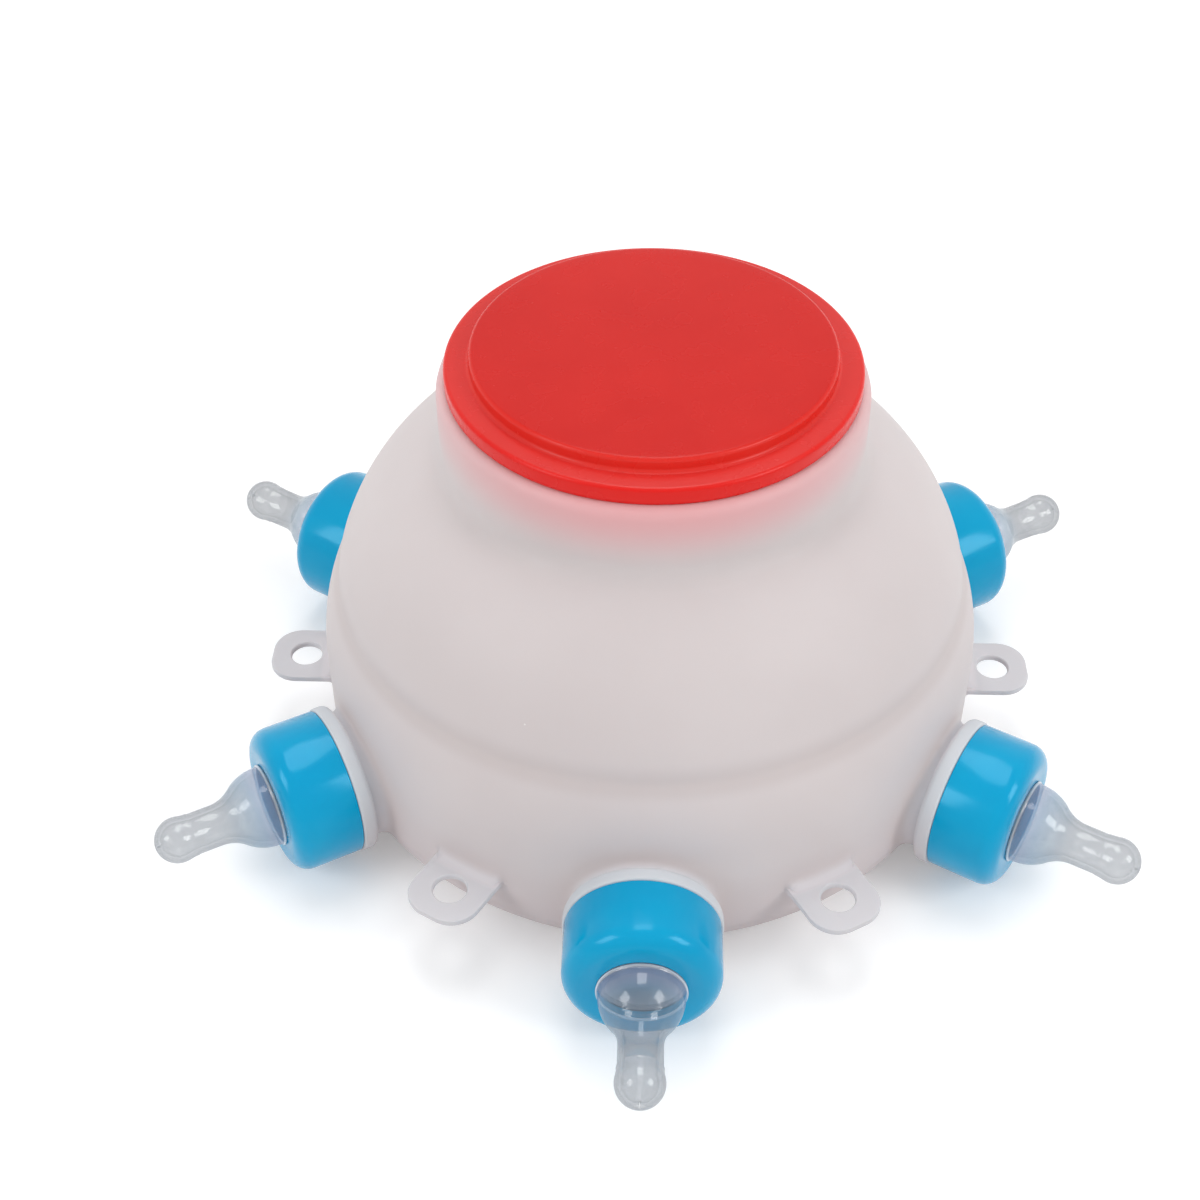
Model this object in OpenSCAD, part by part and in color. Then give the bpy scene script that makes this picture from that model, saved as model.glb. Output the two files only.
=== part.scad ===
// Multi teat feeder for lambs: a blow-moulded domed milk tank with six screw-capped teats round its foot.
// Millimetres, +Z up. The origin is on the floor, under the middle of the tank. The front teat points to -Y.

/* [Tank] */
// Outer radius of the upright lower wall
wall_r = 90.4; // [88:0.2:95]
// Thickness of the moulded wall
wall_t = 2.2; // [1.6:0.1:2.6]
// Radius of the rounded corner between wall and floor
base_corner = 17; // [12:0.5:18]
// Inner radius of the ring that the tank stands on
foot_r = 62; // [40:1:68]
// Height of the raised middle of the base
base_lift = 1.6; // [0.5:0.1:3]
// Outer radius at the waist between lower wall and dome
waist_r = 84.8; // [83:0.2:87]
// Height of the waist above the floor
waist_z = 65.2; // [62:0.2:68]
// Radius of the dome's long curve
dome_curve = 61.2; // [59:0.2:64]

/* [Filling mouth] */
// Outer radius of the mouth's collar
mouth_r = 55.2; // [54.5:0.1:56]
// Height of the rim that the lid sits on
rim_z = 124.2; // [122:0.2:128]
// Radius of the opening in the rim
opening_r = 49; // [48:0.1:50]
// Radius of the curve from the dome up to the mouth
mouth_fillet = 7; // [5:0.5:9]

/* [Lid] */
// Radius of the lid's rim
lid_r = 53; // [52:0.1:53.5]
// Height of the lid's rim
lid_rim_h = 4.9; // [4:0.1:6]
// Radius of the raised middle
lid_disc_r = 46.5; // [44:0.1:46.8]
// Height of the raised middle above the rim
lid_disc_h = 3.8; // [2:0.1:5]
// Moulded wall of the lid
lid_t = 2; // [1.5:0.1:2.2]
// Depth that the plug reaches below the rim
plug_depth = 12; // [8:0.5:14]

/* [Teat outlets] */
// How many outlets stand round the tank
outlets = 6; // [6:1:6]
// Height of the teats' axes above the floor
axis_z = 23; // [22:0.2:26]
// Bore of the outlet neck, as a radius
neck_bore_r = 13.6; // [12:0.1:14]
// Outer radius of the neck under its thread
neck_r = 16.2; // [15.8:0.1:16.3]
// Distance from the tank's middle to the neck's end face
neck_end = 111.4; // [110:0.2:112]
// Radius of the bead behind the collar
bead_r = 20.4; // [19.5:0.1:21]
// Distance from the tank's middle to the bead's outer face
bead_end = 97.2; // [96.5:0.1:97.3]
// Thickness of the bead
bead_t = 3.8; // [3:0.1:4]

/* [Collars] */
// Outer radius of a screw collar
collar_r = 20; // [19.6:0.1:20.4]
// Length of a screw collar
collar_l = 17.9; // [17:0.1:18]
// Bore of the collar over the thread, as a radius
collar_bore_r = 17.6; // [17.4:0.1:17.7]
// Rounding of the collar's front edge
collar_round = 3.4; // [2:0.1:3.8]
// Thickness of the collar's front web
web_t = 2.2; // [1.8:0.1:2.3]
// Radius of the hole in the web
web_hole_r = 11.2; // [11:0.1:11.4]

/* [Teats] */
// Radius of the bulb where it leaves the collar
bulb_r = 10.9; // [10.4:0.1:11]
// Radius of the stem
stem_r = 5.6; // [5:0.1:5.8]
// Radius of the round tip
tip_r = 6.2; // [5.9:0.1:6.6]
// Distance from the tank's middle to the end of the tip
tip_end = 147.8; // [146:0.2:152]
// Thickness of the soft wall
teat_t = 1.6; // [1.2:0.1:1.8]

/* [Lugs] */
// Distance from the tank's middle to a lug's hole
lug_hole_at = 99; // [98:0.2:100]
// Radius of the hole in a lug
lug_hole_r = 4.4; // [3.5:0.1:4.6]
// Width of a lug
lug_w = 19.6; // [18:0.2:21]
// Thickness of a lug
lug_t = 2; // [1.6:0.1:3]
// Distance from the tank's middle to a lug's outer edge
lug_end = 108.4; // [108:0.2:111]

/* [Hidden] */
$fn = 128;

milky = [0.87, 0.85, 0.84];
red = [0.84, 0.20, 0.19];
blue = [0.14, 0.60, 0.77];
clear = [0.80, 0.82, 0.84];

// Curves of the tank's side: a bulging shoulder, a hollow cove, a short turn at the waist, then the dome
shoulder_curve = 45;
cove_curve = 6;
waist_curve = 24;
waist_lean = 6;
dome_lean = 19;
rim_round = 3;

// The shoulder turns in by this angle before the cove turns it back, so that the two meet smoothly
shoulder_lean = acos((shoulder_curve + cove_curve * cos(waist_lean) - (wall_r - waist_r))
                     / (shoulder_curve + cove_curve));
shoulder_z = waist_z - (shoulder_curve + cove_curve) * sin(shoulder_lean) + cove_curve * sin(waist_lean);

function polar(r, a) = r * [cos(a), sin(a)];
function arc(c, r, a0, a1, n) = [for (i = [0 : n]) c + polar(r, a0 + (a1 - a0) * i / n)];

base_c = [wall_r - base_corner, base_corner];
shoulder_c = [wall_r - shoulder_curve, shoulder_z];
cove_c = shoulder_c + polar(shoulder_curve + cove_curve, shoulder_lean);
waist_c = [waist_r, waist_z] - polar(waist_curve, waist_lean);
dome_c = waist_c - polar(dome_curve - waist_curve, dome_lean);
fillet_reach = mouth_r + mouth_fillet - dome_c[0];
fillet_lean = acos(fillet_reach / (dome_curve + mouth_fillet));
fillet_c = dome_c + polar(dome_curve + mouth_fillet, fillet_lean);
rim_c = [mouth_r - rim_round, rim_z - rim_round];

// Half of the tank's section, drawn d inside the outer skin
function tank_half(d) = concat(
  [[0, base_lift + d], [foot_r - 2 * base_lift, base_lift + d], [foot_r, d]],
  arc(base_c, base_corner - d, -90, 0, 12),
  arc(shoulder_c, shoulder_curve - d, 0, shoulder_lean, 6),
  arc(cove_c, cove_curve + d, 180 + shoulder_lean, 180 + waist_lean, 6),
  arc(waist_c, waist_curve - d, waist_lean, dome_lean, 4),
  arc(dome_c, dome_curve - d, dome_lean, fillet_lean, 12),
  arc(fillet_c, mouth_fillet + d, 180 + fillet_lean, 180, 9),
  arc(rim_c, rim_round - d, 0, 90, 6),
  [[0, rim_z - d]]
);

// Outlet neck: flares into the tank's wall, then carries the bead and the end that the teat seals on
flare_slope = 1.2;
flare_r = 18.4;
flare_end_r = 25;
tube_r = 17.6;
bead_start = bead_end - bead_t;
bead_round = 1.3;
neck_root = 70;
neck_edge = 0.6;

// The flares stop at a 45 degree slope that carries on from the middle of the rounded bottom corner
chine = base_c + polar(base_corner, -45);

// Collar and teat, set by the neck's end face: the teat's flange seals on it, under the collar's web
collar_end = bead_end + 0.5 + collar_l;
web_back = collar_end - web_t;
collar_chamfer = 0.8;
seat_gap = 0.2;
flange_r = 16.8;
teat_mouth_r = 11.2;
groove_r = web_hole_r - 0.3;
lip_r = web_hole_r + 0.8;
lip_t = 1.2;
bulb_start = collar_end + seat_gap + lip_t;
tip_c = tip_end - tip_r;
stem_start = bulb_start + 14.2;
swell_start = tip_c - 3.6;

// Lug: rounded outer corners, a small flare in plan and a trumpet-shaped root above and below
lug_corner = 8.6;
lug_flare = 1.2;
lug_root_curve = 4.5;

step_angle = 360 / outlets;

// Turns a shape that is drawn along +Z into outlet number i, pointing away from the tank
module at_outlet(i) {
  translate([0, 0, axis_z]) rotate([0, 0, i * step_angle]) rotate([90, 0, 0]) children();
}

module neck_outside() {
  rotate_extrude() polygon(concat(
    [[0, neck_root], [tube_r, neck_root], [tube_r, bead_start]],
    arc([bead_r - bead_round, bead_start + bead_round], bead_round, -90, 0, 4),
    arc([bead_r - bead_round, bead_end - bead_round], bead_round, 0, 90, 4),
    [[neck_r, bead_end], [neck_r, neck_end - neck_edge], [neck_r - neck_edge, neck_end], [0, neck_end]]
  ));
}

// Cone that carries the tank's wall out to the neck
module neck_flare() {
  foot = bead_start - flare_slope * (flare_end_r - flare_r);
  rotate_extrude() polygon([[0, neck_root], [flare_end_r, neck_root], [flare_end_r, foot],
                            [flare_r, bead_start], [0, bead_start]]);
}

module above_chine() {
  rotate_extrude() polygon([[0, chine[1]], chine, [tip_end, chine[1] + tip_end - chine[0]],
                            [tip_end, rim_z], [0, rim_z]]);
}

// Flat tab with a hole for a rope or a screw, rounded outside and flared where it leaves the wall
module lug_plan() {
  half = lug_w / 2;
  root = wall_r - 4;
  polygon(concat(
    [[-half - lug_flare, -root], [half + lug_flare, -root]],
    arc([half + lug_flare, -wall_r - lug_flare], lug_flare, 90, 180, 6),
    arc([half - lug_corner, -lug_end + lug_corner], lug_corner, 0, -90, 6),
    arc([-half + lug_corner, -lug_end + lug_corner], lug_corner, -90, -180, 6),
    arc([-half - lug_flare, -wall_r - lug_flare], lug_flare, 0, 90, 6)
  ));
}

module lug_root() {
  thin = lug_t / 2;
  start = wall_r - 1;
  rotate_extrude() polygon(concat(
    [[0, neck_root], [thin + lug_root_curve, neck_root]],
    arc([thin + lug_root_curve, start + lug_root_curve], lug_root_curve, 270, 180, 7),
    [[0, start + lug_root_curve]]
  ));
}

module tank() {
  color(milky) difference() {
    union() {
      rotate_extrude() polygon(tank_half(0));
      for (i = [0 : outlets - 1]) at_outlet(i) neck_outside();
      intersection() {
        union() for (i = [0 : outlets - 1]) at_outlet(i) neck_flare();
        above_chine();
      }
      for (i = [0 : outlets - 1]) {
        at_outlet(i + 0.5) lug_root();
        rotate([0, 0, (i + 0.5) * step_angle]) translate([0, 0, axis_z - lug_t / 2])
          linear_extrude(lug_t) lug_plan();
      }
    }
    rotate_extrude() polygon(tank_half(wall_t));
    translate([0, 0, rim_z - rim_round]) cylinder(r = opening_r, h = 2 * rim_round);
    for (i = [0 : outlets - 1]) {
      at_outlet(i) translate([0, 0, neck_root]) cylinder(r = neck_bore_r, h = tip_end - neck_root);
      rotate([0, 0, (i + 0.5) * step_angle]) translate([0, -lug_hole_at, 0])
        cylinder(r = lug_hole_r, h = 2 * axis_z);
    }
  }
}

// Push-fit lid: one even wall that runs from the raised middle down to the rim, with a plug skirt below
module lid() {
  plug_r = opening_r - 0.3;
  rim_top = rim_z + lid_rim_h;
  disc_top = rim_top + lid_disc_h;
  edge = 1.1;
  color(red) difference() {
    rotate_extrude() polygon(concat(
      [[0, rim_z - plug_depth], [plug_r - edge, rim_z - plug_depth], [plug_r, rim_z - plug_depth + 2 * edge]],
      [[plug_r, rim_z], [lid_r - edge / 2, rim_z]],
      arc([lid_r - edge, rim_z + edge], edge, -60, 0, 3),
      arc([lid_r - edge, rim_top - edge], edge, 0, 90, 6),
      arc([lid_disc_r + edge, rim_top + edge], edge, 270, 180, 6),
      arc([lid_disc_r - edge, disc_top - edge], edge, 0, 90, 6),
      [[0, disc_top]]
    ));
    translate([0, 0, rim_z - plug_depth]) cylinder(r = plug_r - lid_t, h = plug_depth + lid_rim_h - lid_t);
    cylinder(r = lid_disc_r - lid_t, h = disc_top - lid_t);
    difference() {
      translate([0, 0, rim_z]) cylinder(r = lid_r - lid_t, h = lid_rim_h - lid_t);
      cylinder(r = plug_r, h = rim_top);
    }
  }
}

module collar(i) {
  color(blue) at_outlet(i) rotate_extrude() polygon(concat(
    [[collar_bore_r, collar_end - collar_l], [collar_r - collar_chamfer, collar_end - collar_l]],
    [[collar_r, collar_end - collar_l + collar_chamfer]],
    arc([collar_r - collar_round, collar_end - collar_round], collar_round, 0, 90, 8),
    [[web_hole_r, collar_end], [web_hole_r, web_back], [collar_bore_r, web_back]]
  ));
}

// Skin of a teat in front of the collar, drawn d inside the outer face: bulb, hollow turn, stem and round tip
function teat_skin(d) = let(
  drop = bulb_r - stem_r,
  run = stem_start - bulb_start,
  turn = 2 * atan(drop / run),
  curve = run / sin(turn),
  bulb_curve = 0.58 * curve,
  swell = tip_r - stem_r
) concat(
  arc([bulb_r - bulb_curve, bulb_start], bulb_curve - d, 0, turn, 8),
  arc([stem_r + curve - bulb_curve, stem_start], curve - bulb_curve + d, 180 + turn, 180, 7),
  [for (i = [0 : 4]) [stem_r - d + swell * (1 - cos(45 * i)) / 2, swell_start + (tip_c - swell_start) * i / 4]]
);

// Soft teat: its base has a flared mouth and a flange, and a groove takes the collar's web
module teat(i) {
  color(clear) at_outlet(i) difference() {
    rotate_extrude() polygon(concat(
      [[0, neck_end], [flange_r, neck_end], [flange_r, web_back - seat_gap], [groove_r, web_back - seat_gap]],
      [[groove_r, collar_end + seat_gap]],
      arc([lip_r - lip_t / 2, bulb_start - lip_t / 2], lip_t / 2, -90, 90, 6),
      teat_skin(0),
      arc([0, tip_c], tip_r, 10, 90, 10)
    ));
    rotate_extrude() polygon(concat(
      [[0, neck_end], [teat_mouth_r, neck_end], [groove_r - teat_t, web_back]],
      teat_skin(teat_t),
      arc([0, tip_c], tip_r - teat_t, 10, 90, 8)
    ));
  }
}

tank();
lid();
collar(0);  // collar_front
collar(1);  // collar_front_right
collar(2);  // collar_rear_right
collar(3);  // collar_rear
collar(4);  // collar_rear_left
collar(5);  // collar_front_left
teat(0);  // teat_front
teat(1);  // teat_front_right
teat(2);  // teat_rear_right
teat(3);  // teat_rear
teat(4);  // teat_rear_left
teat(5);  // teat_front_left
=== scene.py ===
"""Dresses the multi teat feeder: milky blow-moulded tank, red lid, blue collars and clear teats."""

import itertools
import math

import bpy
import numpy as np
from mathutils import Matrix, Vector


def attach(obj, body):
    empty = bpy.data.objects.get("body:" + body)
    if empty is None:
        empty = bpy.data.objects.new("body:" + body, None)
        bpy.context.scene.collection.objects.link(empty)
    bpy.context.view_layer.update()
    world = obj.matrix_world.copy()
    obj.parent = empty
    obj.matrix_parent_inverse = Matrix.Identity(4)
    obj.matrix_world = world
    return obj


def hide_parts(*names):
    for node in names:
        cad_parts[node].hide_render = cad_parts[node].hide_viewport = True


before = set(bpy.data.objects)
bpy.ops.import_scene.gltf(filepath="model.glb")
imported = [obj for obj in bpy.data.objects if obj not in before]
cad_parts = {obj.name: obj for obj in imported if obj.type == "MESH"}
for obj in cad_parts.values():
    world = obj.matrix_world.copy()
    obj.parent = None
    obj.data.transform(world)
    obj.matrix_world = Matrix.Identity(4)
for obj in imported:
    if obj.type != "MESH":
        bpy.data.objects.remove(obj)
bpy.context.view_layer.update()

# Pieces are drawn in millimetres and scaled to metres when their mesh is made
MM = 0.001
STEP = 60.0
SIDES = ["front", "front_right", "rear_right", "rear", "rear_left", "front_left"]

# Tank: radii and heights of the turned wall
WALL_R, WALL_T = 90.4, 2.2
BASE_CORNER, FOOT_R, BASE_LIFT = 17.0, 62.0, 1.6
WAIST_R, WAIST_Z, WAIST_CURVE, WAIST_LEAN = 84.8, 65.2, 24.0, 6.0
SHOULDER_CURVE, COVE_CURVE = 45.0, 6.0
DOME_CURVE, DOME_LEAN = 61.2, 19.0
MOUTH_R, MOUTH_FILLET, RIM_Z, RIM_ROUND, OPENING_R = 55.2, 7.0, 124.2, 3.0, 49.0

# Outlets: neck, bead and thread, measured along the outlet from the tank's middle
AXIS_Z = 23.0
TUBE_R, NECK_ROOT, NECK_R, NECK_BORE_R, NECK_END, NECK_CHAMFER = 17.6, 70.0, 16.2, 13.6, 111.4, 0.6
BEAD_R, BEAD_START, BEAD_END, BEAD_ROUND, BEAD_FRONT_ROUND = 20.4, 92.9, 97.2, 1.6, 0.7
SLEEVE_START, SLEEVE_SINK = 85.0, 0.1
PITCH, THREAD_W, THREAD_H, THREAD_FLANK = 5.0, 1.5, 0.95, 0.5
NECK_THREAD, COLLAR_THREAD = (99.2, 110.4), (98.4, 111.6)

# How the necks flow into the wall: full blend at the top of the rise, next to none at the base
NECK_BLEND, BLEND_LOW, BLEND_RISE, BLEND_LEAST = 3.0, 1.0, 15.0, 0.03
NECK_INTO_BEAD = 1.5

# Lugs, and the roots that the wall draws out under them
LUG_HOLE_AT, LUG_HOLE_R, LUG_HOLE_EDGE = 99.0, 4.4, 0.35
LUG_W, LUG_T, LUG_START, LUG_END, LUG_CORNER, LUG_EDGE = 20.0, 1.9, 84.4, 108.9, 7.8, 0.45
LUG_RAMP, LUG_ROOT_END, LUG_ROOT_SINK, LUG_ROOT_ROUND = 5.0, 95.5, 0.3, 1.2

# Grid on which the tank's outside is found: steps in each sixth of a turn, radii and heights
PER_STEP, CELL = 60, 1.2
TURNS = PER_STEP * len(SIDES)
GRID_R = np.concatenate([np.linspace(4, 49, 6), np.arange(50.4, 112, CELL)])
GRID_Z = np.arange(-1.55, 128, CELL)
CORNERS = list(itertools.product((0, 1), repeat=3))

# How far the cutters of the lug holes and of the mouth reach past what they cut
LUG_CUT_REACH, MOUTH_CUT_REACH = 8.0, 10.0

# Lid
LID_R, LID_RIM_H, LID_DISC_R, LID_DISC_H, LID_T, LID_EDGE = 53.0, 4.9, 46.5, 3.8, 2.0, 1.1
PLUG_R, PLUG_DEPTH = 48.7, 12.0

# Collars
COLLAR_R, COLLAR_BORE_R, COLLAR_ROUND, COLLAR_CHAMFER = 20.0, 17.6, 5.0, 0.2
COLLAR_START, COLLAR_END, WEB_BACK, WEB_HOLE_R, WEB_ROUND = 97.3, 115.6, 113.4, 11.2, 0.4

# Teats
SEAT_GAP, FLANGE_R, TEAT_MOUTH_R = 0.2, 16.8, 11.2
LIP_R, LIP_T, LIP_GAP, LIP_ROUND, LIP_RUN = 11.4, 1.2, 0.05, 0.3, 0.5
BULB_R, STEM_R, TIP_R, TIP_END, TEAT_T = 10.9, 5.6, 6.2, 147.78, 1.6
BULB_START = COLLAR_END + SEAT_GAP + LIP_T
STEM_START = BULB_START + 14.2
BULB_SHARE = 0.58
TIP_C = TIP_END - TIP_R
TIP_TURN, TIP_HOLE_R = 6, 0.3
SWELL_START = TIP_C - 3.6
SWELL_SHARE, SWELL_STEP = 0.75, 0.2
GROOVE_R = WEB_HOLE_R - 0.3
SLIT_R, SLIT_W, SLIT_DEPTH, SLIT_REACH = 1.6, 0.8, 0.4, 0.6

# Stage in metres: floor, world, lamps and the camera fitted to the photo
FLOOR_HALF, FLOOR_DROP = 4.0, 0.0002
FLOOR_FADE, FLOOR_LIFT = (0.7, 2.2), (0.22, 0.9)
WORLD_LIGHT, WORLD_SEEN = 0.56, 1.0
LAMP_TARGET = (0, 0, 0.05)
LAMPS = [
    ("soft_left", (-1.15, -0.72, 1.0), (0.6, 0.7), 6.6),
    ("soft_right", (1.2, -0.6, 1.0), (0.6, 0.7), 7.8),
    ("soft_top", (0.0, 0.42, 1.5), (0.6, 1.1), 7.4),
]
CAMERA_PLACE = (0.0, -0.39075, 0.39931)
CAMERA_DOWN, CAMERA_PAN, CAMERA_ROLL = 42.033, -2.02, -0.279
LENS_MM, SENSOR_MM = 56.206, 36


def polar(radius, degrees):
    a = math.radians(degrees)
    return np.array([radius * math.cos(a), radius * math.sin(a)])


def arc(centre, radius, start, end, steps):
    """Points on a circle, from one angle in degrees to another."""
    return [tuple(np.asarray(centre) + polar(radius, a)) for a in np.linspace(start, end, steps + 1)]


def line(start, end, steps):
    """Evenly spaced points after start, up to end."""
    s, e = np.asarray(start, float), np.asarray(end, float)
    return [tuple(s + (e - s) * i / steps) for i in range(1, steps + 1)]


def lathe(profile, segments, closed=False, relief=None):
    """Vertices and faces of (radius, height) points turned about +Z.

    relief(angle, radius, height) is added to the radius.
    """
    angles = np.arange(segments) * 2 * math.pi / segments
    verts, rings = [], []
    for r, h in profile:
        if r < 1e-6:
            rings.append([len(verts)])
            verts.append((0.0, 0.0, h))
            continue
        rings.append(list(range(len(verts), len(verts) + segments)))
        for a in angles:
            k = r + (relief(a, r, h) if relief else 0.0)
            verts.append((k * math.cos(a), k * math.sin(a), h))
    faces = []
    for low, high in zip(rings, rings[1:] + rings[:1] if closed else rings[1:]):
        for i in range(segments):
            j = (i + 1) % segments
            if len(low) == 1:
                faces.append((low[0], high[j], high[i]))
            elif len(high) == 1:
                faces.append((low[i], low[j], high[0]))
            else:
                faces.append((low[i], low[j], high[j], high[i]))
    return verts, faces


def cylinder(radius, low, high, segments):
    return lathe([(0, low), (radius, low), (radius, high), (0, high)], segments)


def outlet_matrix(i):
    """Turns a shape drawn along +Z into outlet number i."""
    return (Matrix.Translation((0, 0, AXIS_Z)) @ Matrix.Rotation(math.radians(STEP * i), 4, "Z")
            @ Matrix.Rotation(math.radians(90), 4, "X"))


def make(name, verts, faces, matrix=None):
    """An object from millimetre vertices, placed by matrix."""
    mesh = bpy.data.meshes.new(name)
    mesh.from_pydata(verts, [], faces)
    if matrix is not None:
        mesh.transform(matrix)
    mesh.transform(Matrix.Scale(MM, 4))
    mesh.validate()
    obj = bpy.data.objects.new(name, mesh)
    bpy.context.scene.collection.objects.link(obj)
    return obj


def copies(name, part, places):
    """One object that holds a (verts, faces) part at each of several places."""
    verts, faces = [], []
    for place in places:
        base = len(verts)
        verts += [tuple(place @ Vector(v)) for v in part[0]]
        faces += [tuple(i + base for i in face) for face in part[1]]
    return make(name, verts, faces)


def smooth(obj, angle):
    """Smooth shading that stays crisp at edges sharper than the angle in degrees."""
    mesh = obj.data
    mesh.polygons.foreach_set("use_smooth", np.ones(len(mesh.polygons), bool))
    mesh.set_sharp_from_angle(angle=math.radians(angle))


def mark(obj, name, values):
    """Writes one number for each vertex, for the material to read."""
    attribute = obj.data.attributes.new(name, "FLOAT", "POINT")
    attribute.data.foreach_set("value", np.asarray(values, np.float32))


def combine(obj, other, operation):
    """Joins other to obj, or cuts it away, and deletes other."""
    mod = obj.modifiers.new("join", "BOOLEAN")
    mod.operation = operation
    mod.solver = "MANIFOLD"
    mod.object = other
    graph = bpy.context.evaluated_depsgraph_get()
    mesh = bpy.data.meshes.new_from_object(obj.evaluated_get(graph))
    obj.modifiers.clear()
    old = obj.data
    obj.data = mesh
    bpy.data.meshes.remove(old)
    spare = other.data
    bpy.data.objects.remove(other)
    bpy.data.meshes.remove(spare)


def tank_half(d):
    """Half of the tank's section, d inside the outer skin, from the middle of the base to that of the rim."""
    turn = SHOULDER_CURVE + COVE_CURVE * math.cos(math.radians(WAIST_LEAN)) - (WALL_R - WAIST_R)
    shoulder_lean = math.degrees(math.acos(turn / (SHOULDER_CURVE + COVE_CURVE)))
    shoulder_z = (WAIST_Z - (SHOULDER_CURVE + COVE_CURVE) * math.sin(math.radians(shoulder_lean))
                  + COVE_CURVE * math.sin(math.radians(WAIST_LEAN)))
    shoulder_c = np.array([WALL_R - SHOULDER_CURVE, shoulder_z])
    cove_c = shoulder_c + polar(SHOULDER_CURVE + COVE_CURVE, shoulder_lean)
    waist_c = np.array([WAIST_R, WAIST_Z]) - polar(WAIST_CURVE, WAIST_LEAN)
    dome_c = waist_c - polar(DOME_CURVE - WAIST_CURVE, DOME_LEAN)
    fillet_lean = math.degrees(math.acos((MOUTH_R + MOUTH_FILLET - dome_c[0]) / (DOME_CURVE + MOUTH_FILLET)))
    fillet_c = dome_c + polar(DOME_CURVE + MOUTH_FILLET, fillet_lean)
    return (
        [(0, BASE_LIFT + d), (FOOT_R - 2 * BASE_LIFT, BASE_LIFT + d), (FOOT_R, d)]
        + arc((WALL_R - BASE_CORNER, BASE_CORNER), BASE_CORNER - d, -90, 0, 20)
        + arc(shoulder_c, SHOULDER_CURVE - d, 0, shoulder_lean, 10)
        + arc(cove_c, COVE_CURVE + d, 180 + shoulder_lean, 180 + WAIST_LEAN, 8)
        + arc(waist_c, WAIST_CURVE - d, WAIST_LEAN, DOME_LEAN, 6)
        + arc(dome_c, DOME_CURVE - d, DOME_LEAN, fillet_lean, 24)
        + arc(fillet_c, MOUTH_FILLET + d, 180 + fillet_lean, 180, 14)
        + arc((MOUTH_R - RIM_ROUND, RIM_Z - RIM_ROUND), RIM_ROUND - d, 0, 90, 8)
        + [(0, RIM_Z - d)]
    )


class TurnedDistance:
    """Signed distance to a turned solid, looked up in a table over radius and height."""
    CELL = 0.5
    REACH_R, LOW_Z, HIGH_Z = 126.0, -8.0, 134.0

    def __init__(self, profile):
        radii = np.arange(0.0, self.REACH_R, self.CELL)
        heights = np.arange(self.LOW_Z, self.HIGH_Z, self.CELL)
        pr, pz = np.meshgrid(radii, heights, indexing="ij")
        best = np.full(pr.shape, np.inf)
        inside = np.zeros(pr.shape, bool)
        for (ar, az), (br, bz) in zip(profile, profile[1:]):
            dr, dz = br - ar, bz - az
            size = dr * dr + dz * dz
            if size < 1e-12:
                continue
            t = np.clip(((pr - ar) * dr + (pz - az) * dz) / size, 0, 1)
            best = np.minimum(best, np.hypot(pr - ar - t * dr, pz - az - t * dz))
            if abs(dz) > 1e-9:
                crosses = (az > pz) != (bz > pz)
                inside ^= crosses & (pr < ar + (pz - az) * dr / dz)
        self.table = np.where(inside, -best, best)

    def __call__(self, r, z):
        u = np.clip(r / self.CELL, 0, self.table.shape[0] - 1.001)
        v = np.clip((z - self.LOW_Z) / self.CELL, 0, self.table.shape[1] - 1.001)
        i, j = u.astype(int), v.astype(int)
        u, v = u - i, v - j
        t = self.table
        return ((1 - u) * ((1 - v) * t[i, j] + v * t[i, j + 1])
                + u * ((1 - v) * t[i + 1, j] + v * t[i + 1, j + 1]))


turned_wall = TurnedDistance(tank_half(0))


def smooth_min(a, b, k):
    """The smaller of two distances, blended over k where they are alike."""
    h = np.maximum(k - np.abs(a - b), 0.0) / k
    return np.minimum(a, b) - h * h * k / 4


def tank_field(angle, r, z):
    """Signed distance to the tank's outside: turned wall, flowing into the roots of necks and lugs."""
    step = math.radians(STEP)
    wall = turned_wall(r, z)
    turn = angle - step * np.round(angle / step)
    along, across = r * np.cos(turn), r * np.sin(turn)
    neck = np.maximum(np.hypot(across, z - AXIS_Z) - TUBE_R, along - BEAD_START - NECK_INTO_BEAD)
    # The necks flow into the wall, but not into the flat base
    blend = NECK_BLEND * np.clip((z - BLEND_LOW) / BLEND_RISE, BLEND_LEAST, 1)
    field = smooth_min(wall, neck, blend)
    turn = np.abs(turn) - step / 2
    along, across = r * np.cos(turn), r * np.sin(turn)
    plan = np.maximum(np.abs(across) - LUG_W / 2 + LUG_ROOT_SINK, along - LUG_ROOT_END)
    # The wall runs out into the root of a lug's flat faces in a soft ramp
    ramp = smooth_min(wall, np.abs(z - AXIS_Z) - LUG_T / 2 + LUG_ROOT_SINK, LUG_RAMP)
    return np.minimum(field, -smooth_min(-ramp, -plan, LUG_ROOT_ROUND))


def crossed_cells(field):
    """Cells of the grid that the zero level of the field crosses, and a place in each, in grid steps."""
    wrapped = np.concatenate([field, field[:1]])
    blocks = [wrapped[a:a + TURNS, b:b + len(GRID_R) - 1, c:c + len(GRID_Z) - 1] for a, b, c in CORNERS]
    below = sum((block < 0).astype(np.int8) for block in blocks)
    cell = np.argwhere((below > 0) & (below < len(CORNERS)))
    value = np.stack([block[tuple(cell.T)] for block in blocks], axis=1)
    total, count = np.zeros((len(cell), 3)), np.zeros(len(cell))
    for p, q in itertools.combinations(range(len(CORNERS)), 2):
        start, way = np.array(CORNERS[p]), np.array(CORNERS[q]) - np.array(CORNERS[p])
        if np.abs(way).sum() != 1:
            continue
        hit = (value[:, p] < 0) != (value[:, q] < 0)
        t = np.where(hit, value[:, p] / np.where(hit, value[:, p] - value[:, q], 1), 0)
        total += hit[:, None] * (start + t[:, None] * way)
        count += hit
    return cell, cell + total / count[:, None]


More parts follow.
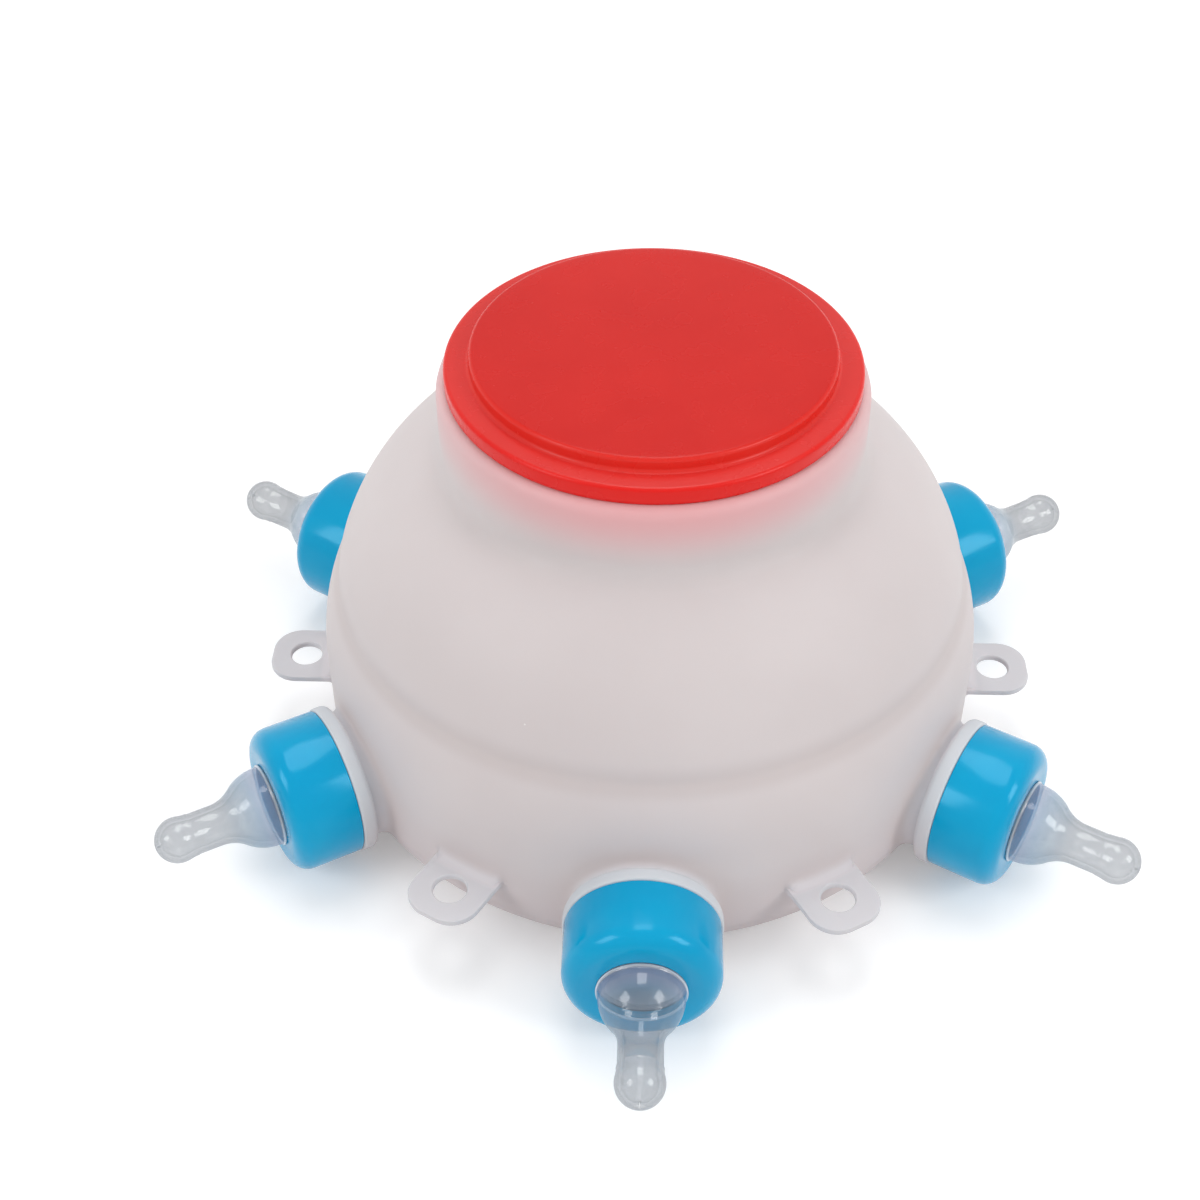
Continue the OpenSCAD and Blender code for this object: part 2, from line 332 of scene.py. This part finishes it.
def net_faces(field, cell):
    """Quads that join the crossed cells, one round each grid edge that the zero level cuts."""
    number = np.full((TURNS, len(GRID_R) - 1, len(GRID_Z) - 1), -1)
    number[tuple(cell.T)] = np.arange(len(cell))
    faces = []
    for axis in range(3):
        others = [a for a in range(3) if a != axis]
        ahead = np.roll(field, -1, axis)
        hit = (field < 0) != (ahead < 0)
        # Only the angle runs round, so the ends of the other two axes have no neighbour
        if axis:
            hit[(slice(None),) * axis + (-1,)] = False
        for a in others:
            if a:
                hit[(slice(None),) * a + (0,)] = False
                hit[(slice(None),) * a + (-1,)] = False
        edge = np.argwhere(hit)
        quad = []
        for u, v in ((-1, -1), (0, -1), (0, 0), (-1, 0)):
            c = edge.copy()
            c[:, others[0]] += u
            c[:, others[1]] += v
            c[:, 0] %= TURNS
            quad.append(number[tuple(c.T)])
        quad = np.stack(quad, axis=1)
        leaves = field[tuple(edge.T)] < 0
        turned = ~leaves if axis == 1 else leaves
        quad[turned] = quad[turned][:, ::-1]
        faces.append(quad)
    return np.concatenate(faces)


def field_at(p):
    """The tank's field at points in x, y, z."""
    return tank_field(np.arctan2(p[:, 0], -p[:, 1]), np.hypot(p[:, 0], p[:, 1]), p[:, 2])


def settle(p):
    """Points moved along the slope of the tank's field towards its zero level."""
    d = 0.05
    slope = np.stack([(field_at(p + d * e) - field_at(p - d * e)) / (2 * d) for e in np.eye(3)], axis=1)
    size = np.maximum((slope ** 2).sum(axis=1), 0.05)
    return p - (field_at(p) / size)[:, None] * slope


def even_out(verts, faces, fixed):
    """Vertices drawn towards the mean of their neighbours and settled on the tank, a few times over."""
    edges = np.concatenate([faces[:, [0, 1]], faces[:, [1, 2]], faces[:, [2, 3]], faces[:, [3, 0]]])
    rank = np.bincount(edges.ravel(), minlength=len(verts))[:, None]
    for _ in range(3):
        verts = settle(verts)
        mean = np.zeros_like(verts)
        for a, b in ((0, 1), (1, 0)):
            for k in range(3):
                mean[:, k] += np.bincount(edges[:, a], verts[edges[:, b], k], len(verts))
        moved = verts + 0.5 * (mean / rank - verts)
        verts = np.where(fixed[:, None], verts, moved)
    return settle(settle(verts))


def tank_outside():
    """The zero level of tank_field as quads: one vertex in each cell of a round grid that it crosses."""
    angle = np.radians(np.arange(PER_STEP) * STEP / PER_STEP)
    sixth = tank_field(*np.meshgrid(angle, GRID_R, GRID_Z, indexing="ij"))
    field = np.tile(sixth, (len(SIDES), 1, 1))
    cell, place = crossed_cells(field)
    angle = place[:, 0] * math.radians(STEP / PER_STEP)
    radius = np.interp(place[:, 1], np.arange(len(GRID_R)), GRID_R)
    height = np.interp(place[:, 2], np.arange(len(GRID_Z)), GRID_Z)
    verts = np.stack([radius * np.sin(angle), -radius * np.cos(angle), height], axis=1)
    faces = net_faces(field, cell)
    open_ring = cell[:, 1] == 0
    verts = even_out(verts, faces, open_ring)

    # Close the small round openings that the grid leaves at the axis, under the base and over the rim
    caps = []
    for low in (True, False):
        ring = np.flatnonzero(open_ring & ((verts[:, 2] < RIM_Z / 2) == low))
        ring = ring[np.argsort(np.arctan2(verts[ring, 0], -verts[ring, 1]))]
        caps.append(tuple(int(i) for i in (ring[::-1] if low else ring)))
    return verts.tolist(), [tuple(f) for f in faces.tolist()] + caps


def thread(angle, height, ends, shift):
    """Height of a screw ridge, from 0 to 1, that climbs one pitch a turn and fades at both ends."""
    place = (height / PITCH - angle / (2 * math.pi) + shift) % 1.0 - 0.5
    rise = min(max((THREAD_W / 2 + THREAD_FLANK - abs(place) * PITCH) / THREAD_FLANK, 0.0), 1.0)
    fade = min(max(height - ends[0], 0.0), max(ends[1] - height, 0.0), 1.0)
    return rise * fade


def neck_sleeve():
    """Bead and threaded end of one neck, drawn along +Z and let into the neck's root."""
    root_r = TUBE_R - SLEEVE_SINK
    profile = (
        [(0, SLEEVE_START), (root_r, SLEEVE_START), (root_r, BEAD_START)]
        + arc((BEAD_R - BEAD_ROUND, BEAD_START + BEAD_ROUND), BEAD_ROUND, -90, 0, 6)
        + arc((BEAD_R - BEAD_FRONT_ROUND, BEAD_END - BEAD_FRONT_ROUND), BEAD_FRONT_ROUND, 0, 90, 4)
        + [(NECK_R, BEAD_END)]
        + line((NECK_R, BEAD_END), (NECK_R, NECK_END - NECK_CHAMFER), 26)
        + [(NECK_R - NECK_CHAMFER, NECK_END), (0, NECK_END)]
    )

    def ridge(a, r, h):
        return THREAD_H * thread(a, h, NECK_THREAD, 0.0) if abs(r - NECK_R) < 1e-6 else 0.0
    return lathe(profile, 72, relief=ridge)


def lug_plate():
    """Flat plate of one lug with softened edges, drawn level and pointing to -Y."""
    rings, verts, faces = [], [], []
    e, thin = LUG_EDGE, LUG_T / 2
    edge = [(e, thin), (0.3 * e, thin - 0.3 * e), (0, thin - e)]
    for inset, z in [(inset, -z) for inset, z in edge] + edge[::-1]:
        half, end, corner = LUG_W / 2 - inset, LUG_END - inset, LUG_CORNER - inset
        plan = ([(-half, -LUG_START), (half, -LUG_START)]
                + arc((half - corner, corner - end), corner, 0, -90, 16)
                + arc((corner - half, corner - end), corner, -90, -180, 16))
        rings.append(range(len(verts), len(verts) + len(plan)))
        verts += [(x, y, AXIS_Z + z) for x, y in plan[::-1]]
    for low, high in zip(rings, rings[1:]):
        for k in range(len(low)):
            n = (k + 1) % len(low)
            faces.append((low[k], low[n], high[n], high[k]))
    return verts, faces + [tuple(rings[0])[::-1], tuple(rings[-1])]


def lug_cutter():
    """Cuts a lug's hole, with softened edges above and below."""
    r, e, thin = LUG_HOLE_R, LUG_HOLE_EDGE, LUG_T / 2
    edge = [(r + e, thin), (r + 0.3 * e, thin - 0.7 * e), (r, thin - 1.4 * e)]
    reach = LUG_CUT_REACH
    profile = ([(0, -reach), (r + e, -reach)] + [(x, -z) for x, z in edge] + edge[::-1]
               + [(r + e, reach), (0, reach)])
    return lathe(profile, 72)


def mark_hollow(tank):
    """Marks the tank's hollow and bores, which painted light makes paler than its outside."""
    co = np.empty(3 * len(tank.data.vertices))
    tank.data.vertices.foreach_get("co", co)
    x, y, z = co.reshape(-1, 3).T / MM
    hollow = turned_wall(np.hypot(x, y), z) < 0.2 - WALL_T
    for i in range(len(SIDES)):
        a = math.radians(STEP * i)
        along, across = x * math.sin(a) - y * math.cos(a), x * math.cos(a) + y * math.sin(a)
        hollow |= (along > NECK_ROOT) & (np.hypot(across, z - AXIS_Z) < NECK_BORE_R + 0.1)
    mark(tank, "hollow", hollow)


def build_tank():
    """One shell: outside, drilled lugs and necks, with the hollow, the bores and the mouth cut out."""
    tank = make("tank_shell", *tank_outside())
    lugs = [Matrix.Rotation(math.radians(STEP * (i + 0.5)), 4, "Z") for i in range(len(SIDES))]
    outlets = [outlet_matrix(i) for i in range(len(SIDES))]
    combine(tank, copies("plates", lug_plate(), lugs), "UNION")
    at_hole = Matrix.Translation((0, -LUG_HOLE_AT, AXIS_Z))
    combine(tank, copies("holes", lug_cutter(), [lug @ at_hole for lug in lugs]), "DIFFERENCE")
    combine(tank, copies("sleeves", neck_sleeve(), outlets), "UNION")
    combine(tank, make("cavity", *lathe(tank_half(WALL_T), 120)), "DIFFERENCE")
    bore = cylinder(NECK_BORE_R, NECK_ROOT, TIP_END, 48)
    combine(tank, copies("bores", bore, outlets), "DIFFERENCE")
    mouth = cylinder(OPENING_R, RIM_Z - 2 * RIM_ROUND, RIM_Z + MOUTH_CUT_REACH, 120)
    combine(tank, make("mouth", *mouth), "DIFFERENCE")
    mark_hollow(tank)
    smooth(tank, 40)
    return tank


def build_lid():
    """Raised disc, rim with a hanging edge, and the plug skirt below it."""
    rim_top = RIM_Z + LID_RIM_H
    under_rim = rim_top - LID_T
    top = rim_top + LID_DISC_H
    low = RIM_Z - PLUG_DEPTH
    e = LID_EDGE
    profile = (
        [(0, top - LID_T), (LID_DISC_R - LID_T, top - LID_T), (LID_DISC_R - LID_T, under_rim)]
        + [(PLUG_R - LID_T, under_rim), (PLUG_R - LID_T, low), (PLUG_R - e, low), (PLUG_R, low + 2 * e)]
        + [(PLUG_R, under_rim), (LID_R - LID_T, under_rim), (LID_R - LID_T, RIM_Z)]
        + [(LID_R - e / 2, RIM_Z)]
        + arc((LID_R - e, RIM_Z + e), e, -60, 0, 4)
        + arc((LID_R - e, rim_top - e), e, 0, 90, 8)
        + arc((LID_DISC_R + e, rim_top + e), e, 270, 180, 8)
        + arc((LID_DISC_R - e, top - e), e, 0, 90, 8)
        + [(LID_DISC_R * k, top) for k in (0.9, 0.7, 0.5, 0.3, 0.1)]
        + [(0, top)]
    )
    lid = make("lid_cap", *lathe(profile, 192))
    smooth(lid, 30)
    return lid


def build_collar(i, side):
    """Round-fronted cap with a thread inside and a web that holds the teat."""
    back_r, front_r, front_end = COLLAR_R - COLLAR_CHAMFER, COLLAR_R - COLLAR_ROUND, COLLAR_END - COLLAR_ROUND
    profile = (
        [(COLLAR_BORE_R, COLLAR_START), (back_r, COLLAR_START)]
        + arc((back_r, COLLAR_START + COLLAR_CHAMFER), COLLAR_CHAMFER, -90, 0, 4)[1:]
        + arc((front_r, front_end), COLLAR_ROUND, 0, 90, 12)
        + arc((WEB_HOLE_R + WEB_ROUND, COLLAR_END - WEB_ROUND), WEB_ROUND, 90, 180, 3)
        + [(WEB_HOLE_R, WEB_BACK), (COLLAR_BORE_R, WEB_BACK)]
        + line((COLLAR_BORE_R, WEB_BACK), (COLLAR_BORE_R, COLLAR_START), 32)[:-1]
    )

    def groove(a, r, h):
        return -THREAD_H * thread(a, h, COLLAR_THREAD, 0.5) if abs(r - COLLAR_BORE_R) < 1e-6 else 0.0
    collar = make("collar_cap_" + side, *lathe(profile, 96, True, groove), outlet_matrix(i))
    smooth(collar, 35)
    return collar


def teat_skin(d):
    """Skin of a teat in front of the collar, d inside the outer face: bulb, hollow turn, stem and swell."""
    drop, run = BULB_R - STEM_R, STEM_START - BULB_START
    turn = 2 * math.degrees(math.atan(drop / run))
    curve = run / math.sin(math.radians(turn))
    bulb_curve = BULB_SHARE * curve
    hollow_curve = curve - bulb_curve
    swell, rings = SWELL_SHARE * (TIP_R - STEM_R), 8
    return (
        arc((BULB_R - bulb_curve, BULB_START), bulb_curve - d, 0, turn, 14)
        + arc((STEM_R + hollow_curve, STEM_START), hollow_curve + d, 180 + turn, 180, 12)
        + [(STEM_R - d, SWELL_START - 2.5 * SWELL_STEP)]
        + [(STEM_R - d + SWELL_STEP, SWELL_START - SWELL_STEP)]
        + [(TIP_R - d - swell * (1 + math.cos(math.pi * k / rings)) / 2,
            SWELL_START + (TIP_C - SWELL_START) * k / rings) for k in range(rings + 1)]
    )


def cross_cut(x, y, z):
    """Depth, from 0 to 1, of the cross cut in the outside of a tip that is drawn along +Z."""
    width = np.clip(1 - np.minimum(np.abs(x), np.abs(y)) / (SLIT_W / 2), 0, 1)
    reach = np.clip(2 * (1 - np.hypot(x, y) / SLIT_R), 0, 1)
    return (z > TIP_END - SLIT_REACH) * width * reach


def build_teat(i, side):
    """Flange behind the collar's web, groove round it, lip, bulb, stem and a tip with a small cut hole."""
    hole = math.degrees(math.acos(TIP_HOLE_R / TIP_R))
    inner_hole = math.degrees(math.acos(TIP_HOLE_R / (TIP_R - TEAT_T)))
    outside = (
        [(TEAT_MOUTH_R, NECK_END), (FLANGE_R, NECK_END), (FLANGE_R, WEB_BACK - SEAT_GAP)]
        + [(GROOVE_R, WEB_BACK - SEAT_GAP), (GROOVE_R, COLLAR_END + LIP_GAP)]
        + arc((LIP_R - LIP_ROUND, COLLAR_END + LIP_GAP + LIP_ROUND), LIP_ROUND, -90, 60, 6)
        + [(BULB_R + 0.2 * LIP_RUN, BULB_START - LIP_RUN)]
        + [(BULB_R + 0.1 * LIP_RUN, BULB_START - 0.5 * LIP_RUN)]
        + teat_skin(0)[1:]
        + arc((0, TIP_C), TIP_R, TIP_TURN, hole, 36)
    )
    inside = arc((0, TIP_C), TIP_R - TEAT_T, inner_hole, TIP_TURN, 12) + teat_skin(TEAT_T)[::-1]
    mouth = [(GROOVE_R - TEAT_T, WEB_BACK)]
    inner = [True] * len(mouth) + [False] * len(outside) + [True] * len(inside)
    segments = 96
    verts, faces = lathe(mouth + outside + inside, segments, True)
    x, y, z = np.array(verts).T
    cut = cross_cut(x, y, z)
    verts = np.stack([x, y, z - SLIT_DEPTH * cut], axis=1).tolist()
    teat = make("teat_soft_" + side, verts, faces, outlet_matrix(i))
    mark(teat, "inner", np.repeat(inner, segments))
    mark(teat, "along", z)
    mark(teat, "cut", cut)
    smooth(teat, 50)
    return teat


class Nodes:
    """Small helper that adds and links shader nodes of one material."""

    def __init__(self, name):
        self.material = bpy.data.materials.new(name)
        self.material.use_nodes = True
        self.tree = self.material.node_tree
        self.shader = self.tree.nodes["Principled BSDF"]
        self.coords = self.add("ShaderNodeTexCoord").outputs["Object"]

    def feed(self, socket, value):
        """Links a socket to another one, or sets it to a constant."""
        if isinstance(value, bpy.types.NodeSocket):
            self.tree.links.new(value, socket)
        else:
            socket.default_value = value

    def add(self, kind, inputs=None, **settings):
        node = self.tree.nodes.new(kind)
        for key, value in settings.items():
            setattr(node, key, value)
        for key, value in (inputs or {}).items():
            self.feed(node.inputs[key], value)
        return node

    def attribute(self, name):
        return self.add("ShaderNodeAttribute", attribute_name=name).outputs["Fac"]

    def noise(self, scale, detail):
        inputs = {"Vector": self.coords, "Scale": scale, "Detail": detail}
        return self.add("ShaderNodeTexNoise", inputs).outputs["Fac"]

    def spread(self, value, low, high, start=0.3, end=0.7):
        """A value from start to end, stretched to run from low to high."""
        inputs = {"Value": value, "From Min": start, "From Max": end, "To Min": low, "To Max": high}
        return self.add("ShaderNodeMapRange", inputs).outputs["Result"]

    def over(self, value, low, high, start, end):
        """As spread, for a value in metres and its start and end in millimetres."""
        return self.spread(value, low, high, MM * start, MM * end)

    def fade(self, value, start, end, most):
        """Rises softly from 0 to most, for a value in metres and its start and end in millimetres."""
        inputs = {"Value": value, "From Min": MM * start, "From Max": MM * end, "To Max": most}
        return self.add("ShaderNodeMapRange", inputs, interpolation_type="SMOOTHSTEP").outputs["Result"]

    def ramp(self, value, stops):
        """Colours at places from 0 to 1, blended in between."""
        node = self.add("ShaderNodeValToRGB", {"Fac": value})
        for element, (place, colour) in zip(node.color_ramp.elements, stops):
            element.position = place
            element.color = (*colour, 1)
        return node.outputs["Color"]

    def mix(self, fac, a, b):
        """Colour a where fac is 0, and b where it is 1."""
        node = self.add("ShaderNodeMix", {0: fac}, data_type="RGBA")
        for key, colour in ((6, a), (7, b)):
            self.feed(node.inputs[key], (*colour, 1) if isinstance(colour, tuple) else colour)
        return node.outputs[2]

    def turned(self):
        """Distance from the upright axis, and height."""
        part = self.add("ShaderNodeSeparateXYZ", {"Vector": self.coords}).outputs
        flat = self.add("ShaderNodeCombineXYZ", {"X": part["X"], "Y": part["Y"]}).outputs["Vector"]
        radius = self.add("ShaderNodeVectorMath", {0: flat}, operation="LENGTH").outputs["Value"]
        return radius, part["Z"]

    def specks(self, scale, size, share):
        """Mask of small round specks: a share of the cells of a Voronoi pattern has one."""
        cells = self.add("ShaderNodeTexVoronoi", {"Vector": self.coords, "Scale": scale, "Randomness": 1.0})
        dot = self.spread(cells.outputs["Distance"], 1.0, 0.0, size * 0.6, size)
        pick = self.add("ShaderNodeSeparateColor", {"Color": cells.outputs["Color"]}).outputs["Red"]
        return self.times(dot, self.math("LESS_THAN", pick, share))

    def math(self, operation, a, b):
        return self.add("ShaderNodeMath", {0: a, 1: b}, operation=operation).outputs[0]

    def times(self, a, b):
        return self.math("MULTIPLY", a, b)

    def most(self, a, b):
        return self.math("MAXIMUM", a, b)

    def bump(self, height, strength, distance, normal=None):
        inputs = {"Height": height, "Strength": strength, "Distance": distance}
        if normal is not None:
            inputs["Normal"] = normal
        return self.add("ShaderNodeBump", inputs).outputs["Normal"]

    def link(self, value, socket):
        self.tree.links.new(value, self.shader.inputs[socket])

    def set(self, **values):
        for key, value in values.items():
            self.shader.inputs[key.replace("_", " ")].default_value = value


def tank_material():
    """Milky polyethylene: neutral where solid, warm where the hollow wall glows, with painted light and
    shade: pink light close to the lid, light behind each bead, shade in the waist's crease and darker, warmer
    shade towards the base.
    """
    m = Nodes("tank_plastic")
    radius, height = m.turned()
    cloud = m.noise(14, 3)
    solid = m.ramp(cloud, [(0.35, (0.575, 0.60, 0.635)), (0.65, (0.615, 0.64, 0.675))])
    wall = m.ramp(cloud, [(0.35, (0.625, 0.568, 0.568)), (0.65, (0.66, 0.603, 0.603))])
    colour = m.mix(m.over(radius, 1.0, 0.0, BEAD_START - 1.9, BEAD_START + 1.1), solid, wall)
    # Painted light: the narrow strip behind each bead is lifted against the crease's shade, as by light that
    # the thin neck lets through
    crease_painted_light = m.times(m.over(radius, 0.0, 0.6, BEAD_START - 2.3, BEAD_START - 1.1),
                   m.over(radius, 1.0, 0.0, BEAD_START + 0.1, BEAD_START + 1.6))
    colour = m.mix(crease_painted_light, colour, (0.74, 0.74, 0.78))
    # Painted light and shade: towards the base the wall turns pinker and darker, as warm bounce light and
    # shade there
    foot_painted_shade = m.over(height, 0.0, 0.8, 2 * BASE_CORNER, 4)
    colour = m.mix(foot_painted_shade, colour, (0.615, 0.515, 0.515))
    # Painted shade: the crease at the waist is darker
    cove_painted_shade = m.times(m.fade(height, WAIST_Z - 6.7, WAIST_Z - 2.7, 0.33),
                   m.fade(height, WAIST_Z + 4.8, WAIST_Z - 1.2, 1.0))
    colour = m.mix(cove_painted_shade, colour, (0.52, 0.45, 0.44))
    # Painted light: the lid's red shows as pink light in the mouth's wall, most at the front
    depth = m.add("ShaderNodeSeparateXYZ", {"Vector": m.coords}).outputs["Y"]
    red_painted_glow = m.times(m.fade(height, RIM_Z - 18.2, RIM_Z - 1.7, 0.83),
                   m.over(depth, 1.0, 0.6, 1.2 - MOUTH_R, 27.2 - MOUTH_R))
    colour = m.mix(red_painted_glow, colour, (0.78, 0.37, 0.385))
    colour = m.mix(m.specks(170, 0.05, 0.008), colour, (0.78, 0.75, 0.74))
    colour = m.mix(m.specks(120, 0.04, 0.012), colour, (0.30, 0.28, 0.27))
    # Painted light: the hollow is made paler than the outside, standing in for light that the thin wall lets
    # through
    colour = m.mix(m.attribute("hollow"), colour, (0.86, 0.86, 0.91))
    m.link(colour, "Base Color")
    m.link(m.spread(m.noise(60, 5), 0.46, 0.58), "Roughness")
    wave = m.bump(m.noise(35, 2), 0.05, 0.002)
    m.link(m.bump(m.noise(900, 3), 0.03, 0.0003, wave), "Normal")
    m.set(IOR=1.5, Specular_IOR_Level=0.34, Subsurface_Weight=0.3, Subsurface_Radius=(1.0, 0.85, 0.8),
          Subsurface_Scale=0.003)
    return m.material


def lid_material():
    """Red plastic with painted light: a little brighter round the rim, as bounce from the pale tank close
    below it, and brighter still on the rim's outer edge and at the disc's step.
    """
    m = Nodes("lid_plastic")
    radius, _ = m.turned()
    cloud = m.noise(40, 4)
    middle = m.ramp(cloud, [(0.3, (0.56, 0.006, 0.003)), (0.7, (0.60, 0.009, 0.005))])
    # Painted light: lighter copies of the red for the rim, its outer edge and the step at the disc
    rim = m.ramp(cloud, [(0.3, (0.635, 0.026, 0.021)), (0.7, (0.675, 0.030, 0.025))])
    side = m.ramp(cloud, [(0.3, (0.73, 0.009, 0.006)), (0.7, (0.76, 0.012, 0.008))])
    step = (0.78, 0.032, 0.022)
    rim = m.mix(m.over(radius, 0.0, 1.0, LID_R - LID_EDGE, LID_R - 0.2), rim, side)
    rim = m.mix(m.over(radius, 1.0, 0.0, LID_DISC_R + 0.1, LID_DISC_R + 0.9), rim, step)
    colour = m.mix(m.over(radius, 0.0, 1.0, LID_DISC_R - 1.0, LID_DISC_R + 0.1), middle, rim)
    colour = m.mix(m.specks(190, 0.05, 0.03), colour, (0.75, 0.25, 0.22))
    colour = m.mix(m.specks(150, 0.04, 0.02), colour, (0.25, 0.004, 0.004))
    m.link(colour, "Base Color")
    m.link(m.spread(m.noise(120, 5), 0.22, 0.30), "Roughness")
    m.link(m.bump(m.noise(30, 1), 0.03, 0.002), "Normal")
    m.set(IOR=1.4, Specular_IOR_Level=0.29, Subsurface_Weight=0.08, Subsurface_Radius=(1.0, 0.2, 0.15),
          Subsurface_Scale=0.003)
    return m.material


def collar_material():
    """Glossy blue plastic."""
    m = Nodes("collar_plastic")
    colour = m.ramp(m.noise(55, 3), [(0.3, (0.0, 0.318, 0.575)), (0.7, (0.001, 0.352, 0.612))])
    colour = m.mix(m.specks(260, 0.07, 0.03), colour, (0.45, 0.72, 0.85))
    m.link(colour, "Base Color")
    m.link(m.spread(m.noise(150, 5), 0.13, 0.19), "Roughness")
    m.link(m.bump(m.noise(60, 1), 0.04, 0.001), "Normal")
    m.set(IOR=1.52, Specular_IOR_Level=0.33, Specular_Tint=(0.42, 0.84, 1.0, 1.0), Subsurface_Weight=0.08,
          Subsurface_Radius=(0.2, 0.7, 1.0), Subsurface_Scale=0.002)
    return m.material


def teat_material():
    """Clear, slightly smoky silicone, denser towards its edges, with a painted reflection of the collar's
    blue in its base and a painted highlight on its lip.
    """
    m = Nodes("teat_silicone")
    inner, along, cut = m.attribute("inner"), m.attribute("along"), m.attribute("cut")
    clear = m.ramp(m.noise(90, 3), [(0.3, (0.15, 0.18, 0.22)), (0.7, (0.19, 0.22, 0.26))])
    # Painted reflection: the collar's blue shows in the bulb's base, paler and more violet right next to the
    # collar
    bulb = m.spread(along, 1.0, 0.0, BULB_START + 4, BULB_START + 12)
    clear = m.mix(bulb, clear, (0.11, 0.29, 0.46))
    clear = m.mix(m.spread(along, 0.9, 0.0, BULB_START + 1, BULB_START + 5), clear, (0.30, 0.36, 0.56))
    shown = m.spread(along, 0.0, 1.0, COLLAR_END - 0.2, COLLAR_END)
    # Painted highlight: a pale line on the lip in front of the collar
    lip = m.times(m.spread(along, 1.0, 0.0, COLLAR_END + 0.7, COLLAR_END + 1.0), shown)
    clear = m.mix(lip, clear, (0.74, 0.80, 0.88))
    m.link(m.mix(cut, clear, (0.92, 0.93, 0.95)), "Base Color")
    m.link(m.spread(m.noise(160, 4), 0.08, 0.14), "Roughness")
    m.link(m.bump(m.noise(110, 2), 0.05, 0.001), "Normal")
    edge = m.add("ShaderNodeLayerWeight", {"Blend": 0.35}).outputs["Facing"]
    dense = m.spread(edge, 0.34, 0.72, 0.15, 0.95)
    dense = m.most(dense, m.times(bulb, 0.42))
    dense = m.most(dense, m.times(lip, m.spread(edge, 0.45, 0.95, 0.1, 0.8)))
    dense = m.most(dense, m.times(cut, 0.9))
    dense = m.times(dense, m.spread(shown, 0.35, 1.0, 0.0, 1.0))
    dense = m.times(dense, m.spread(inner, 1.0, 0.2, 0.0, 1.0))
    # Clear silicone hardly shades what lies behind it
    shade = m.spread(m.add("ShaderNodeLightPath").outputs["Is Shadow Ray"], 1.0, 0.2, 0.0, 1.0)
    m.link(m.times(dense, shade), "Alpha")
    m.set(IOR=1.75, Specular_IOR_Level=0.78)
    return m.material


def seen_rays(tree):
    """1 for rays that show the white background: from the camera, off shiny pieces or through clear ones."""
    path = tree.nodes.new("ShaderNodeLightPath").outputs
    seen = path["Is Camera Ray"]
    for kind in ("Is Glossy Ray", "Is Transmission Ray"):
        either = tree.nodes.new("ShaderNodeMath")
        either.operation = "MAXIMUM"
        tree.links.new(seen, either.inputs[0])
        tree.links.new(path[kind], either.inputs[1])
        seen = either.outputs[0]
    return seen


def floor_material():
    """White floor that shows the object's soft shadow and fades into the white background."""
    m = Nodes("floor_white")
    away, _ = m.turned()
    m.link(m.times(seen_rays(m.tree), m.spread(away, *FLOOR_LIFT, *FLOOR_FADE)), "Emission Strength")
    m.set(Base_Color=(0.9, 0.9, 0.9, 1), Roughness=0.9, Emission_Color=(1, 1, 1, 1), Specular_IOR_Level=0.0)
    return m.material


def build_floor():
    corners = [(-1, -1), (1, -1), (1, 1), (-1, 1)]
    mesh = bpy.data.meshes.new("floor")
    mesh.from_pydata([(FLOOR_HALF * x, FLOOR_HALF * y, -FLOOR_DROP) for x, y in corners], [], [(0, 1, 2, 3)])
    floor = bpy.data.objects.new("floor", mesh)
    bpy.context.scene.collection.objects.link(floor)
    mesh.materials.append(floor_material())


def build_world():
    """Even white light from all round, shown as plain white."""
    world = bpy.data.worlds.new("studio")
    bpy.context.scene.world = world
    world.use_nodes = True
    tree = world.node_tree
    back = tree.nodes["Background"]
    back.inputs["Color"].default_value = (1, 1, 1, 1)
    strength = tree.nodes.new("ShaderNodeMapRange")
    strength.inputs["To Min"].default_value = WORLD_LIGHT
    strength.inputs["To Max"].default_value = WORLD_SEEN
    tree.links.new(seen_rays(tree), strength.inputs["Value"])
    tree.links.new(strength.outputs["Result"], back.inputs["Strength"])


def area_light(name, place, size, power):
    """A soft rectangular lamp that points at the feeder."""
    lamp = bpy.data.lights.new(name, "AREA")
    lamp.shape = "RECTANGLE"
    lamp.size, lamp.size_y = size
    lamp.energy = power
    obj = bpy.data.objects.new(name, lamp)
    bpy.context.scene.collection.objects.link(obj)
    obj.location = place
    obj.rotation_euler = (Vector(LAMP_TARGET) - Vector(place)).to_track_quat("-Z", "Y").to_euler()


def build_camera():
    """The photo's camera, in front of the feeder and above it."""
    down, pan, roll = (math.radians(a) for a in (CAMERA_DOWN, CAMERA_PAN, CAMERA_ROLL))
    forward = Vector((math.sin(pan) * math.cos(down), math.cos(pan) * math.cos(down), -math.sin(down)))
    right = Vector((math.cos(pan), -math.sin(pan), 0))
    up = right.cross(forward)
    right, up = (math.cos(roll) * right + math.sin(roll) * up, math.cos(roll) * up - math.sin(roll) * right)
    data = bpy.data.cameras.new("camera")
    data.sensor_fit = "HORIZONTAL"
    data.sensor_width = SENSOR_MM
    data.lens = LENS_MM
    data.clip_start = 0.01
    camera = bpy.data.objects.new("camera", data)
    bpy.context.scene.collection.objects.link(camera)
    turn = Matrix((right, up, -forward)).transposed()
    camera.matrix_world = Matrix.Translation(CAMERA_PLACE) @ turn.to_4x4()
    bpy.context.scene.camera = camera


def dress(obj, node, material):
    """Puts a piece in place of its CAD node, on the body of the same name."""
    obj.data.materials.clear()
    obj.data.materials.append(material)
    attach(obj, node)
    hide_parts(node)


dress(build_tank(), "tank", tank_material())
dress(build_lid(), "lid", lid_material())
blue, clear = collar_material(), teat_material()
for number, side in enumerate(SIDES):
    dress(build_collar(number, side), "collar_" + side, blue)
    dress(build_teat(number, side), "teat_" + side, clear)

build_floor()
build_world()
for lamp in LAMPS:
    area_light(*lamp)
build_camera()
bpy.context.scene.view_settings.view_transform = "Standard"
